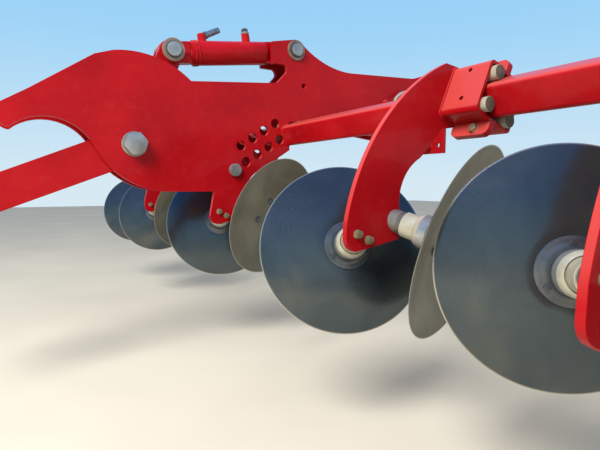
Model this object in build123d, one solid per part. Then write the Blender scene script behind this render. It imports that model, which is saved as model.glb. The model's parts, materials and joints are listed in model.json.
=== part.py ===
from build123d import *
import math
import os

# Levelling disc section of a heavy tine cultivator, in millimetres.
# X points forward, Y to the machine's left and Z up. The origin is the centre of the front
# face of the flange that bolts the section to the machine's frame.

# Side plates: two flame-cut plates that carry everything else
plate_t = 15
plate_gap = 80
plate_in = plate_gap / 2
plate_out = plate_in + plate_t
plate_mid = plate_in + plate_t / 2

# Flange to the machine's frame
flange_t = 20
flange_w = 250
flange_h = 390
flange_bolt_y = 180
flange_bolt_z = 310
flange_hole = 26

# Roller arm pivot, and the two pins of the depth cylinder
pivot = (-1446, -217)
pivot_d = 48
base_pin = (-807, 187)
pin_d = 50
pin_washer_d = 80
pin_washer_t = 6
lever_r = 361
lever_angle = 67.2

# Stop holes: two sloping rows, with the stop pin in the lowest hole
stop_start = (-1079, -297)
stop_upper_shift = (29, 93)
stop_pitch = 58.5
stop_slope = 32.4
stop_hole_d = 38
stop_pin_d = 37
stop_head_d = 48

# Overhang of the side plates over the cylinder's front end
overhang_x = -917

# Rear belly and hump of the side plates
belly_c = (-1330, -107)
belly_r = 272
hump_r = 150
hump_dir = 206.2
nose_x = -1845

# Square beam across the section, and the rubber-sprung clamps on it
beam_c = (-824, -146)
beam_side = 80
beam_wall = 8
beam_corner_r = 12
beam_tilt = 21.7
beam_y0 = -1615
beam_y1 = 1510
clamp_in = 116
clamp_wall = 8
clamp_len = 108
clamp_lip = 32
clamp_split = 0.5
clamp_in_r = 6
clamp_hole_d = 11
clamp_hole_z = (46, -29)
clamp_out = clamp_in + 2 * clamp_wall
cord_play = 0.15
cord_proud = 4

# Sickle arms: thickness and places along the beam
arm_t = 15
inner_arm_y = 900
outer_arm_y = 1405
leg_y = -plate_mid

# Disc axles: length, yaw and pitch, and where they leave the foot of an arm. The inner disc
# of an outer arm stands at a wider angle, on a longer foot.
axle_l = 166.3
near_yaw = 20
far_yaw = 25
axle_pitch = 16
near_foot = (-1042, -437)
far_foot = (-1143, -471)
leg_feet_up = 11
leg_feet_forward = 5
wide_yaw = 43
wide_pitch = 4
wide_foot = (-1108, -486)
foot_collar_d = 54
foot_collar_l = 22
foot_edge = 3
stub_d = 58
spindle_d = 40
bearing_play = 0.1
seam = 2

# Dished disc and its hub
disc_d = 440
disc_t = 5
dish_r = 535
flat_d = 140
edge_bevel = 18
edge_t = 1.2
hub_flange_d = 120
hub_flange_t = 10
hub_d = 80
hub_nose_d = 75
hub_l = 52

# Depth cylinder
barrel_d = 88
bore_d = 70
rod_d = 40
piston_l = 40
gland_start = 78
gland_l = 22
barrel_gap = 6
eye_d = 84
base_eye_w = 60
rod_eye_w = 38
rod_end_gap = 2
eye_play = 8.5
port_d = 32
port_h = 20
rear_port = 32
front_port = 68

# Roller arm
arm_plate_t = 12
arm_plate_out = 34
arm_plate_in = arm_plate_out - arm_plate_t
arm_hub_d = 92
tongue_r = 565
tongue_h = 66
tail_end_x = -2040
tail_drop = 24
web_t = 10
roller_flange_t = 20
roller_flange_w = 170
roller_flange_h = 240
roller_bolt_y = 120
roller_bolt_z = 180
roller_hole = 22

# Small hole in the side plates
small_hole = (-769, 51)
small_hole_d = 20

# Spacer tubes between the side plates: x, z
spacer_d = 60
spacer_bore = 30
spacers = [(-640, 20), (-300, 0), (-1200, -320)]


def slab(outline, y_low, y_high):
    """Extrude an XZ outline from y_low to y_high."""
    return extrude(Plane.XZ.offset(-y_high) * outline, y_high - y_low)


def disc_at(centre, diameter):
    """A round XZ outline."""
    return Pos(*centre) * Circle(diameter / 2)


def polar(centre, radius, angle):
    """The point at a radius and an angle in degrees from a centre."""
    turn = math.radians(angle)
    return (centre[0] + radius * math.cos(turn), centre[1] + radius * math.sin(turn))


def closed(*edges):
    """A face from edges that meet end to end."""
    return make_face(Curve() + list(edges))


def foot_lobe(forward=0, up=0):
    """Rounded edge of a foot around the front axle's collar."""
    centre = (near_foot[0] + forward, near_foot[1] + up)
    return disc_at(centre, foot_collar_d + 2 * foot_edge)


def save(name, shape):
    """Write one sub-part."""
    export_step(shape, f"parts/{name}.step")


def joined(shapes):
    """Several separate solids of one sub-part."""
    return Compound(children=list(shapes))


rod_pin = polar(pivot, lever_r, lever_angle)
clamp_turn = beam_tilt - 45


def clamp_frame(x, z):
    """A point given in the clamp's own turned axes, moved to the XZ plane."""
    turn = math.radians(clamp_turn)
    return (
        beam_c[0] + x * math.cos(turn) - z * math.sin(turn),
        beam_c[1] + x * math.sin(turn) + z * math.cos(turn),
    )


# Side plates
def leg_edges(start, finish):
    """The leg's edges from its rear top to the underside of the stop holes."""
    toe = (-1150, -501)
    heel = (-1176, -462)
    sole_end = (-1040, -482)
    shin = (-1030, -372)
    return [
        Line(start, heel),
        ThreePointArc(heel, (-1172, -488), toe),
        Line(toe, sole_end),
        Line(sole_end, shin),
        ThreePointArc(shin, (-1012, -328), (-965, -294)),
        Line((-965, -294), finish),
    ]


def plate_outline(with_leg):
    """Outline of a side plate, with the disc leg on the near one only."""
    hump_c = polar(belly_c, belly_r + hump_r, hump_dir)
    hump_start = polar(hump_c, hump_r, 132)
    hump_top = polar(hump_c, hump_r, 80)
    hump_end = polar(belly_c, belly_r, hump_dir)
    belly_mid = polar(belly_c, belly_r, 235)
    belly_end = polar(belly_c, belly_r, 270)
    leg_top = (-1161, belly_end[1])
    scallop_r = lever_r - pin_washer_d / 2 - 12
    scallop_start = polar(pivot, scallop_r, 101)
    scallop_mid = polar(pivot, scallop_r, 75)
    scallop_end = polar(pivot, scallop_r, 49)
    notch_right = (-913, 47)
    overhang = (overhang_x, 123)
    overhang_top = (overhang_x, 206)
    boss_r = 42
    boss_rear = polar(base_pin, boss_r, 100)
    boss_top = polar(base_pin, boss_r, 70)
    boss_front = polar(base_pin, boss_r, 38)
    under = (-836, -212)
    beam_front_top = (-798, -92)
    bottom = [Line(belly_end, leg_top)] + leg_edges(leg_top, under) if with_leg else [
        Line(belly_end, (-1090, belly_end[1])),
        Line((-1090, belly_end[1]), (-965, -294)),
        Line((-965, -294), under),
    ]
    return closed(
        ThreePointArc(hump_start, hump_top, hump_end),
        ThreePointArc(hump_end, belly_mid, belly_end),
        *bottom,
        Line(under, (-840, -100)),
        Line((-840, -100), beam_front_top),
        ThreePointArc(beam_front_top, (-620, -96), (-440, -126)),
        Line((-440, -126), (-flange_t, -172)),
        Line((-flange_t, -172), (-flange_t, 160)),
        Line((-flange_t, 160), (-500, 133)),
        ThreePointArc((-500, 133), (-640, 146), boss_front),
        ThreePointArc(boss_front, boss_top, boss_rear),
        Line(boss_rear, overhang_top),
        Line(overhang_top, overhang),
        Line(overhang, (-862, 123)),
        ThreePointArc((-862, 123), (-850, 108), (-858, 88)),
        Line((-858, 88), (-886, 58)),
        ThreePointArc((-886, 58), (-898, 50), notch_right),
        Line(notch_right, scallop_end),
        ThreePointArc(scallop_end, scallop_mid, scallop_start),
        Line(scallop_start, (-1564, 66)),
        Line((-1564, 66), (-1755, -64)),
        Line((-1755, -64), (-1832, -112)),
        ThreePointArc((-1832, -112), (nose_x, -150), hump_start),
    )


def stop_holes():
    """Centres of the stop holes: five in the lower row and four in the upper one."""
    upper = (stop_start[0] + stop_upper_shift[0], stop_start[1] + stop_upper_shift[1])
    lower_row = [polar(stop_start, stop_pitch * i, stop_slope) for i in range(5)]
    upper_row = [polar(upper, stop_pitch * i, stop_slope) for i in range(4)]
    return lower_row + upper_row


beam_section = Pos(*beam_c) * Rot(0, 0, beam_tilt) * RectangleRounded(
    beam_side, beam_side, beam_corner_r
)
plate_holes = Sketch() + [disc_at(c, stop_hole_d) for c in stop_holes()]
plate_holes += disc_at(pivot, pivot_d + 0.4)
plate_holes += disc_at(base_pin, pin_d + 0.4)
plate_holes += disc_at(small_hole, small_hole_d)
far_outline = plate_outline(False) - plate_holes - beam_section
save("side_plate_far", slab(far_outline, plate_in, plate_out))
near_outline = plate_outline(True) + foot_lobe(leg_feet_forward, leg_feet_up)
near_outline = near_outline - plate_holes - beam_section
save("side_plate_near", slab(near_outline, -plate_out, -plate_in))

# Front flange, spacer tubes and pins
flange = Pos(-flange_t / 2, 0, 0) * Box(flange_t, flange_w, flange_h)
for y in (-flange_bolt_y / 2, flange_bolt_y / 2):
    for z in (-flange_bolt_z / 2, flange_bolt_z / 2):
        flange -= Pos(-flange_t / 2, y, z) * Rot(0, 90, 0) * Cylinder(flange_hole / 2, flange_t)
save("front_flange", flange)

tubes = [
    slab(disc_at(c, spacer_d) - disc_at(c, spacer_bore), -plate_in, plate_in) for c in spacers
]
save("plate_spacers", joined(tubes))

head_t = 30
washer_t = 5
head_af = 70
bolt = slab(disc_at(pivot, pivot_d), -plate_out - washer_t, plate_out + washer_t + head_t)
head = Pos(*pivot) * Rot(0, 0, 12) * RegularPolygon(head_af / 2, 6, major_radius=False)
washer = disc_at(pivot, head_af + 14)
bolt += slab(head, -plate_out - washer_t - head_t, -plate_out - washer_t)
bolt += slab(head, plate_out + washer_t, plate_out + washer_t + head_t)
bolt += slab(washer, -plate_out - washer_t, -plate_out)
bolt += slab(washer, plate_out, plate_out + washer_t)
save("pivot_bolt", bolt)

pin_end = plate_out + pin_washer_t + 12


def washered_pin(centre, seat):
    """A plain pin with a washer against the seat and a circlip outside it, at both ends."""
    pin = slab(disc_at(centre, pin_d), -pin_end, pin_end)
    for side in (-1, 1):
        rings = ((pin_washer_d, seat, seat + pin_washer_t), (pin_d + 9, seat + 6, seat + 9))
        for ring_d, near_y, far_y in rings:
            low, high = sorted((side * near_y, side * far_y))
            pin += slab(disc_at(centre, ring_d), low, high)
    return pin


save("base_pin", washered_pin(base_pin, plate_out))
stop = slab(disc_at(stop_start, stop_pin_d), -plate_out, plate_out + 14)
stop += slab(disc_at(stop_start, stop_head_d), -plate_out - 16, -plate_out)
save("stop_pin", stop)

# Square beam with its end caps
bore = Pos(*beam_c) * Rot(0, 0, beam_tilt) * RectangleRounded(
    beam_side - 2 * beam_wall, beam_side - 2 * beam_wall, beam_corner_r - beam_wall
)
save("cross_beam", slab(beam_section - bore, beam_y0, beam_y1))
cap_t = 6
save(
    "beam_end_caps",
    joined(
        [
            slab(beam_section, beam_y0 - cap_t, beam_y0),
            slab(beam_section, beam_y1, beam_y1 + cap_t),
        ]
    ),
)


# Sickle arms, their clamps and rubber cords
def sickle_outline(long_foot):
    """Sickle-shaped plate: head on the rear half of the clamp, foot at the axles."""
    tip = (-887, -53)
    head_top = (-845, -58)
    heel = (-1188, -439)
    ankle = (-1189, -468)
    cheek = (-1183, -489)
    toe = (-1158, -502)
    sole = (-1100, -492)
    sole_end = (-1034, -480)
    shin = (-1034, -400)
    knee = (-1019, -335)
    back = (-1089, -214)
    if long_foot:
        heel = (-1174, -482)
        ankle = (-1177, -530)
        cheek = (-1171, -553)
        toe = (-1155, -569)
        sole = (-1122, -584)
        sole_end = (-1036, -556)
        shin = (-1012, -405)
        knee = (-1001, -338)
        back = (-1062, -228)
    return closed(
        ThreePointArc(tip, back, heel),
        Line(heel, ankle),
        ThreePointArc(ankle, cheek, toe),
        Line(toe, sole),
        Line(sole, sole_end),
        Line(sole_end, shin),
        ThreePointArc(shin, knee, (-970, -288)),
        ThreePointArc((-970, -288), (-925, -245), (-898, -214)),
        Line((-898, -214), clamp_frame(0, -clamp_out / 2)),
        Line(clamp_frame(0, -clamp_out / 2), clamp_frame(0, clamp_out / 2)),
        Line(clamp_frame(0, clamp_out / 2), head_top),
        Line(head_top, tip),
    )


def clamp_half(side):
    """Half of the clamp housing, a folded channel with two bolting lips, in its own axes."""
    ring = RectangleRounded(clamp_out, clamp_out, clamp_in_r + clamp_wall)
    ring -= RectangleRounded(clamp_in, clamp_in, clamp_in_r)
    side_room = Rectangle(clamp_out - 2 * clamp_split, 2 * clamp_out)
    half = ring & (Pos(side * clamp_out / 2, 0) * side_room)
    lip_x = side * (clamp_split + clamp_wall / 2)
    for end in (-1, 1):
        lip_z = end * (clamp_out / 2 - 1 + clamp_lip / 2)
        half += Pos(lip_x, lip_z) * Rectangle(clamp_wall, clamp_lip + 2)
    return half


def arm_set(number, y, long_foot):
    """One sickle arm with its clamp and its four cords, at a place along the beam."""
    window = RectangleRounded(clamp_in, clamp_in, clamp_in_r)
    place = Pos(*beam_c) * Rot(0, 0, clamp_turn)
    outline = sickle_outline(long_foot) + foot_lobe() - place * window
    save(f"arm_{number}", slab(outline, y - arm_t / 2, y + arm_t / 2))
    clamp_end = y - arm_t / 2
    halves = [slab(place * clamp_half(side), clamp_end - clamp_len, clamp_end) for side in (-1, 1)]
    for z in clamp_hole_z:
        hole_x, hole_z = clamp_frame(-clamp_in / 2 - clamp_wall / 2, z)
        hole = Pos(hole_x, clamp_end - clamp_len / 2, hole_z) * Rot(0, 90 - clamp_turn, 0)
        halves[0] -= hole * Cylinder(clamp_hole_d / 2, 2 * clamp_wall)
    save(f"clamp_{number}", joined(halves))
    spare = clamp_in - beam_side / math.sqrt(2)
    cord_r = spare / (2 + math.sqrt(2)) - cord_play
    reach = clamp_in / 2 - cord_r - cord_play
    cords = []
    for x in (-reach, reach):
        for z in (-reach, reach):
            cord = place * Pos(x, z) * Circle(cord_r)
            cords.append(slab(cord, clamp_end - clamp_len - cord_proud, clamp_end))
    save(f"rubber_cords_{number}", joined(cords))


# Discs, hubs and axles, made about their own axle with Z towards the arm
sphere_c = -math.sqrt(dish_r**2 - (disc_d / 2) ** 2)


def dish(radius, sphere_r):
    """Height of a sphere of the dish above the rim plane."""
    return sphere_c + math.sqrt(sphere_r**2 - radius**2)


hub_seat = dish(flat_d / 2, dish_r + disc_t)
hub_end = hub_seat + hub_flange_t + hub_l


def blade():
    """Dished disc with a flat middle and an edge bevelled on its hollow side."""
    outer = dish_r + disc_t
    rim = disc_d / 2
    flat = flat_d / 2
    bevel = rim - edge_bevel
    mid_out = (rim + flat) / 2
    mid_in = (bevel + flat) / 2
    rim_z = dish(rim, outer)
    profile = closed(
        Line((0, dish(flat, dish_r)), (flat, dish(flat, dish_r))),
        ThreePointArc(
            (flat, dish(flat, dish_r)), (mid_in, dish(mid_in, dish_r)), (bevel, dish(bevel, dish_r))
        ),
        Line((bevel, dish(bevel, dish_r)), (rim, rim_z - edge_t)),
        Line((rim, rim_z - edge_t), (rim, rim_z)),
        ThreePointArc((rim, rim_z), (mid_out, dish(mid_out, outer)), (flat, hub_seat)),
        Line((flat, hub_seat), (0, hub_seat)),
        Line((0, hub_seat), (0, dish(flat, dish_r))),
    )
    return revolve(Plane.XZ * profile, Axis.Z)


def turned(points):
    """Turn a closed profile of radius and height about the axle."""
    return revolve(Plane.XZ * make_face(Polyline(*points, close=True)), Axis.Z)


def hub():
    """Bearing hub: bolting flange and barrel, bored for the spindle."""
    bore_r = spindle_d / 2 + bearing_play
    flange_r = hub_flange_d / 2
    barrel_r = hub_d / 2
    nose_r = hub_nose_d / 2
    top = hub_seat + hub_flange_t
    return turned(
        [
            (bore_r, hub_seat),
            (flange_r, hub_seat),
            (flange_r, top - 2),
            (flange_r - 2, top),
            (barrel_r + 6, top),
            (barrel_r, top + 6),
            (barrel_r, hub_end - 14),
            (nose_r, hub_end - 8),
            (nose_r, hub_end),
            (bore_r, hub_end),
        ]
    )


def stub():
    """Axle stub: spindle in the hub, body, and a collar long enough to be cut at the arm."""
    end = hub_seat + 3
    shoulder = hub_end + seam
    reach = axle_l + 2 * foot_collar_d
    collar = axle_l - foot_collar_l
    return turned(
        [
            (0, end),
            (spindle_d / 2, end),
            (spindle_d / 2, shoulder),
            (stub_d / 2, shoulder),
            (stub_d / 2, collar),
            (foot_collar_d / 2, collar),
            (foot_collar_d / 2, reach),
            (0, reach),
        ]
    )


def disc_set(number, y, half_t, wide_side, forward=0, up=0):
    """The two discs at the foot of one arm, each with hub and axle stub."""
    stubs = []
    sides = (("near", -1, near_foot, near_yaw), ("far", 1, far_foot, far_yaw))
    for name, side, foot, yaw in sides:
        pitch = axle_pitch
        if side == wide_side:
            foot = wide_foot
            yaw = wide_yaw
            pitch = wide_pitch
        yaw = math.radians(yaw)
        pitch = math.radians(pitch)
        level = math.cos(pitch)
        out = Vector(math.sin(yaw) * level, side * math.cos(yaw) * level, -math.sin(pitch))
        face_y = y + side * half_t
        centre = Vector(foot[0] + forward, face_y, foot[1] + up) + out * axle_l
        place = Plane(origin=centre, z_dir=-out).location
        save(f"disc_{number}_{name}", place * blade())
        save(f"hub_{number}_{name}", place * hub())
        waste = Pos(centre.X, face_y - side * axle_l, centre.Z) * Box(
            4 * axle_l, 2 * axle_l, 4 * axle_l
        )
        stubs.append(place * stub() - waste)
        print(f"disc_{number}_{name}", [round(v, 3) for v in centre], [round(v, 6) for v in out])
    save(f"axles_{number}", joined(stubs))


arms = (
    (1, -outer_arm_y, True, 1),
    (2, -inner_arm_y, False, 0),
    (4, inner_arm_y, False, 0),
    (5, outer_arm_y, True, -1),
)
for number, y, long_foot, wide_side in arms:
    arm_set(number, y, long_foot)
    disc_set(number, y, arm_t / 2, wide_side)
disc_set(3, leg_y, plate_t / 2, 0, leg_feet_forward, leg_feet_up)


# Roller arm: two plates with lever, tongue and tail about the pivot
def tongue_underside():
    """Angle of the tongue's lower edge, which rests just above the stop pin."""
    run = math.hypot(stop_start[0] - pivot[0], stop_start[1] - pivot[1])
    slope = math.degrees(math.atan2(stop_start[1] - pivot[1], stop_start[0] - pivot[0]))
    return slope + math.degrees(math.asin((stop_pin_d / 2 + 0.3) / run))


tongue_low = tongue_underside()
tongue_tip = polar(pivot, tongue_r, tongue_low)
tongue_up = tongue_low + 90
tongue_tip_top = polar(tongue_tip, tongue_h, tongue_up)
tail_x = tail_end_x + roller_flange_t
tail_dir = 180 + tail_drop


def arm_plate_outline():
    """Roller arm plate: lever to the rod's pin, tongue to the stop pin, tail to the roller."""
    root_r = 62
    lever_end = 40
    tail_low = polar(pivot, root_r, tail_dir + 90)
    tail_high = polar(pivot, root_r, tail_dir - 90)
    run = (pivot[0] - tail_x) * math.tan(math.radians(tail_drop))
    tail_foot = (tail_x, tail_low[1] - run + 20)
    tail_head = (tail_x, tail_high[1] - run + 20)
    lever = make_hull(
        (disc_at(pivot, 2 * root_r).edges() + disc_at(rod_pin, 2 * lever_end).edges())
    )
    tongue = make_face(
        Polyline(
            pivot,
            polar(pivot, tongue_r - 20, tongue_low),
            polar(tongue_tip, 14, tongue_up),
            tongue_tip_top,
            polar(pivot, tongue_h, tongue_up),
            close=True,
        )
    )
    tail = make_face(Polyline(tail_low, tail_foot, tail_head, tail_high, close=True))
    return lever + tongue + tail + disc_at(pivot, 2 * root_r), tail_foot, tail_head, tail_low, tail_high


arm_outline, tail_foot, tail_head, tail_low, tail_high = arm_plate_outline()
arm_outline = arm_outline - disc_at(pivot, arm_hub_d) - disc_at(rod_pin, pin_d)
save(
    "roller_arm_plates",
    joined(
        [
            slab(arm_outline, -arm_plate_out, -arm_plate_in),
            slab(arm_outline, arm_plate_in, arm_plate_out),
        ]
    ),
)
hub_tube = disc_at(pivot, arm_hub_d) - disc_at(pivot, pivot_d + 2 * bearing_play)
save("roller_arm_hub", slab(hub_tube, -arm_plate_out, arm_plate_out))


def web(start, finish, inward):
    """A flat strip that closes the tail between its two plates."""
    run = Vector(*finish) - Vector(*start)
    step = run.normalized()
    normal = Vector(-step.Y, step.X) * inward * web_t
    first = Vector(*start) + step * 40
    face = make_face(
        Polyline(
            tuple(first)[:2],
            tuple(finish)[:2],
            tuple(Vector(*finish) + normal)[:2],
            tuple(first + normal)[:2],
            close=True,
        )
    )
    return slab(face, -arm_plate_in, arm_plate_in)


webs = [web(tail_high, tail_head, 1), web(tail_low, tail_foot, -1)]
waste = 2 * roller_flange_h
tail_cut = Pos(tail_x - waste / 2, 0, tail_foot[1]) * Box(waste, waste, 2 * waste)
save("roller_arm_webs", joined([w - tail_cut for w in webs]))
flange_z = (tail_foot[1] + tail_head[1]) / 2
roller_flange = Pos(tail_end_x + roller_flange_t / 2, 0, flange_z) * Box(
    roller_flange_t, roller_flange_w, roller_flange_h
)
for y in (-roller_bolt_y / 2, roller_bolt_y / 2):
    for z in (-roller_bolt_z / 2, roller_bolt_z / 2):
        hole = Rot(0, 90, 0) * Cylinder(roller_hole / 2, roller_flange_t)
        roller_flange -= Pos(tail_end_x + roller_flange_t / 2, y, flange_z + z) * hole
save("roller_flange", roller_flange)
print("roller flange centre", tail_end_x, round(flange_z, 3))

# Rod pin, carried by the lever, with collars that bring its washers out past the side plates
rod_pin_part = washered_pin(rod_pin, plate_out)
for side in (-1, 1):
    low, high = sorted((side * arm_plate_out, side * plate_out))
    rod_pin_part += slab(disc_at(rod_pin, pin_washer_d - 14), low, high)
save("rod_pin", rod_pin_part)

# Depth cylinder, made along X from the rod's pin at rest
span = math.hypot(base_pin[0] - rod_pin[0], base_pin[1] - rod_pin[1])
lean = math.degrees(math.atan2(base_pin[1] - rod_pin[1], base_pin[0] - rod_pin[0]))
cylinder_place = Pos(rod_pin[0], 0, rod_pin[1]) * Rot(0, -lean, 0)
barrel_room = overhang_x - barrel_gap - rod_pin[0] - barrel_d / 2 * math.sin(math.radians(lean))
barrel_end = barrel_room / math.cos(math.radians(lean))


def round_bar(start, finish, diameter):
    """A round bar along the cylinder's axis."""
    length = finish - start
    return Pos((start + finish) / 2, 0, 0) * Rot(0, 90, 0) * Cylinder(diameter / 2, length)


def eye(at, width, bore):
    """A round eye across the cylinder's axis."""
    ring = Cylinder(eye_d / 2, width) - Cylinder(bore / 2, width)
    return Pos(at, 0, 0) * Rot(90, 0, 0) * ring


chamber_start = gland_start + gland_l
barrel = round_bar(gland_start + 8, barrel_end, barrel_d)
barrel += round_bar(gland_start, gland_start + 8, barrel_d - 8)
neck_len = span - barrel_end
neck = Pos(barrel_end + neck_len / 2, 0, 0) * Box(neck_len, base_eye_w, eye_d - 8)
barrel += neck - Pos(span, 0, 0) * Rot(90, 0, 0) * Cylinder(eye_d / 2 - 1, base_eye_w)
barrel += eye(span, base_eye_w, pin_d + 2 * bearing_play)
for at in (chamber_start + rear_port, barrel_end - front_port):
    barrel += Pos(at, 0, barrel_d / 2 + port_h / 2 - 6) * Cylinder(port_d / 2, port_h + 12)
barrel -= round_bar(chamber_start, barrel_end - 14, bore_d)
barrel -= round_bar(gland_start, chamber_start, rod_d + 2 * bearing_play)
save("cylinder_barrel", cylinder_place * barrel)

piston_end = barrel_end - 20
rod = round_bar(eye_d / 2 - 6, piston_end, rod_d)
rod += round_bar(piston_end - piston_l, piston_end, bore_d - 2 * bearing_play)
rod_end_l = gland_start - rod_end_gap
rod += Pos(rod_end_l / 2, 0, 0) * Box(rod_end_l, rod_eye_w, eye_d - 8)
rod = rod - Rot(90, 0, 0) * Cylinder(eye_d / 2 - 1, rod_eye_w)
rod += eye(0, rod_eye_w, pin_d + 2 * eye_play)
save("cylinder_rod", cylinder_place * rod)
print("rod pin", [round(v, 3) for v in rod_pin], "span", round(span, 3), "lean", round(lean, 4))
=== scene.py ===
import json
import math

import bmesh
import bpy
import numpy as np
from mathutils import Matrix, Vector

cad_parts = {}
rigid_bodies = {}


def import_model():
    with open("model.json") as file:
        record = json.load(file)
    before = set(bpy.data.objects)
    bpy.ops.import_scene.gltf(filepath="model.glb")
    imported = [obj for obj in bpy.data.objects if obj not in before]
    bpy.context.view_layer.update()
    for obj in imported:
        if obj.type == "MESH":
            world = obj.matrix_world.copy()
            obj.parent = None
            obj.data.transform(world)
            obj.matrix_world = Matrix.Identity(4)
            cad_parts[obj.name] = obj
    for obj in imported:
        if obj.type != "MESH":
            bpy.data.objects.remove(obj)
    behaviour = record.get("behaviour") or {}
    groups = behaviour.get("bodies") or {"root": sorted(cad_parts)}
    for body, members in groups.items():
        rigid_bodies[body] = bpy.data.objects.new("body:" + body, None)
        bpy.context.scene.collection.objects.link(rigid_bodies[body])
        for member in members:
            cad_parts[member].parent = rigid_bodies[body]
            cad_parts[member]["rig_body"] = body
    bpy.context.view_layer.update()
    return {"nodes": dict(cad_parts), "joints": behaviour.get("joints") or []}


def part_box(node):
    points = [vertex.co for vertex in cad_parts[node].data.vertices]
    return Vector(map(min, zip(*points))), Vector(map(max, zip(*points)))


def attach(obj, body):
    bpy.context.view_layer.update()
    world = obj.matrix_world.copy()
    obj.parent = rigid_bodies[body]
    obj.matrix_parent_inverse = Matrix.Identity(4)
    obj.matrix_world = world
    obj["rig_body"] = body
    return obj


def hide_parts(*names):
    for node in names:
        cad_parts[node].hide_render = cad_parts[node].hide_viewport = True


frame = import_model()
nodes = frame["nodes"]
joints = {joint["name"]: joint for joint in frame["joints"]}


# The camera stands low behind the near end of the section and looks along the row of discs,
# as in the photograph. Its place, turn and lens come from matching known points of the part.
camera_place = np.array([-1.8179, -1.7366, -0.3539])
camera_yaw, camera_pitch, camera_roll = np.radians([31.57, -4.79, 0.27])
film_width = 36.0
lens_length = 28.46
sight_limit = 60.0

ahead = np.array(
    [
        math.sin(camera_yaw) * math.cos(camera_pitch),
        math.cos(camera_yaw) * math.cos(camera_pitch),
        math.sin(camera_pitch),
    ]
)
level_right = np.array([math.cos(camera_yaw), -math.sin(camera_yaw), 0.0])
level_up = np.cross(level_right, ahead)
camera_turn = np.eye(4)
camera_turn[:3, 0] = level_right * math.cos(camera_roll) + level_up * math.sin(camera_roll)
camera_turn[:3, 1] = level_up * math.cos(camera_roll) - level_right * math.sin(camera_roll)
camera_turn[:3, 2] = -ahead
camera_turn[:3, 3] = camera_place
lens = bpy.data.cameras.new("photo_lens")
lens.sensor_fit = "HORIZONTAL"
lens.sensor_width = film_width
lens.lens = lens_length
lens.clip_end = sight_limit
camera = bpy.data.objects.new("photo_camera", lens)
camera.matrix_world = camera_turn.T.tolist()
bpy.context.scene.collection.objects.link(camera)
bpy.context.scene.camera = camera
bpy.context.scene.view_settings.view_transform = "Standard"


# Yard: a plain pale concrete floor under the raised section, a pale sky that the camera and
# the bright metal see, and one large soft sun high beside the camera. The sun is two lamps in
# one place: the strong one only lights, and a weak one makes the glints.
floor_height = -1.02
yard_reach = 14.0
concrete_tones = ((0.3, (0.68, 0.64, 0.54)), (0.7, (0.76, 0.72, 0.61)))
sky_tones = (
    (0.0, (0.68, 0.82, 0.90)),
    (0.28, (0.35, 0.66, 0.93)),
    (0.36, (0.32, 0.63, 0.93)),
    (0.50, (0.11, 0.42, 0.98)),
    (0.75, (0.06, 0.27, 0.85)),
)
sky_light = (0.90, 0.95, 1.0)
sky_light_strength = 0.55
lit_middle = np.array([-1.0, -0.4, -0.2])
sun_from = np.array([-0.72, -0.36, 0.62])
sun_distance = 5.0
sun_size = 2.2
sun_colour = (1.0, 0.96, 0.90)
sun_lamps = (("soft_sun", 330.0, False), ("sun_glint", 50.0, True))


def texture(tree, kind, coordinates, **settings):
    """A texture node on the given coordinates, with its sockets set by name."""
    made = tree.nodes.new(kind)
    tree.links.new(coordinates, made.inputs["Vector"])
    for socket, value in settings.items():
        made.inputs[socket].default_value = value
    return made


def ramp(tree, value, *stops):
    """A colour ramp over a value, from stops of a place and a colour, or one number for grey."""
    made = tree.nodes.new("ShaderNodeValToRGB")
    tree.links.new(value, made.inputs["Fac"])
    for index, (place, colour) in enumerate(stops):
        if index > 1:
            made.color_ramp.elements.new(place)
        made.color_ramp.elements[index].position = place
        made.color_ramp.elements[index].color = (*map(float, np.broadcast_to(colour, 3)), 1)
    return made.outputs["Color"]


def finish(name, **sockets):
    """A new material: its shader's constants by socket name, and its object coordinates."""
    made = bpy.data.materials.new(name)
    made.use_nodes = True
    shader = made.node_tree.nodes["Principled BSDF"]
    for socket, value in sockets.items():
        shader.inputs[socket.replace("_", " ")].default_value = value
    place = made.node_tree.nodes.new("ShaderNodeTexCoord").outputs["Object"]
    return made, made.node_tree, shader, place


concrete, tree, shader, place = finish("pale_concrete", Roughness=0.85)
cloud = texture(tree, "ShaderNodeTexNoise", place, Scale=1.4, Detail=6.0)
tree.links.new(ramp(tree, cloud.outputs["Fac"], *concrete_tones), shader.inputs["Base Color"])

corners = np.array([(-1, -1), (1, -1), (1, 1), (-1, 1)]) * yard_reach
floor_mesh = bpy.data.meshes.new("yard_floor")
floor_mesh.from_pydata([(x, y, floor_height) for x, y in corners], [], [(0, 1, 2, 3)])
floor_mesh.materials.append(concrete)
floor = bpy.data.objects.new("yard_floor", floor_mesh)
bpy.context.scene.collection.objects.link(floor)

sky = bpy.data.worlds.new("yard_sky")
sky.use_nodes = True
bpy.context.scene.world = sky
tree = sky.node_tree
heading = tree.nodes.new("ShaderNodeSeparateXYZ")
tree.links.new(tree.nodes.new("ShaderNodeTexCoord").outputs["Generated"], heading.inputs[0])
rays = tree.nodes.new("ShaderNodeLightPath")
shown = tree.nodes.new("ShaderNodeMath")
shown.operation = "MAXIMUM"
tree.links.new(rays.outputs["Is Camera Ray"], shown.inputs[0])
tree.links.new(rays.outputs["Is Glossy Ray"], shown.inputs[1])
seen = tree.nodes["Background"]
tree.links.new(ramp(tree, heading.outputs["Z"], *sky_tones), seen.inputs["Color"])
lighting = tree.nodes.new("ShaderNodeBackground")
lighting.inputs["Color"].default_value = (*sky_light, 1)
lighting.inputs["Strength"].default_value = sky_light_strength
choice = tree.nodes.new("ShaderNodeMixShader")
tree.links.new(shown.outputs[0], choice.inputs[0])
tree.links.new(lighting.outputs[0], choice.inputs[1])
tree.links.new(seen.outputs[0], choice.inputs[2])
tree.links.new(choice.outputs[0], tree.nodes["World Output"].inputs["Surface"])

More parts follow.
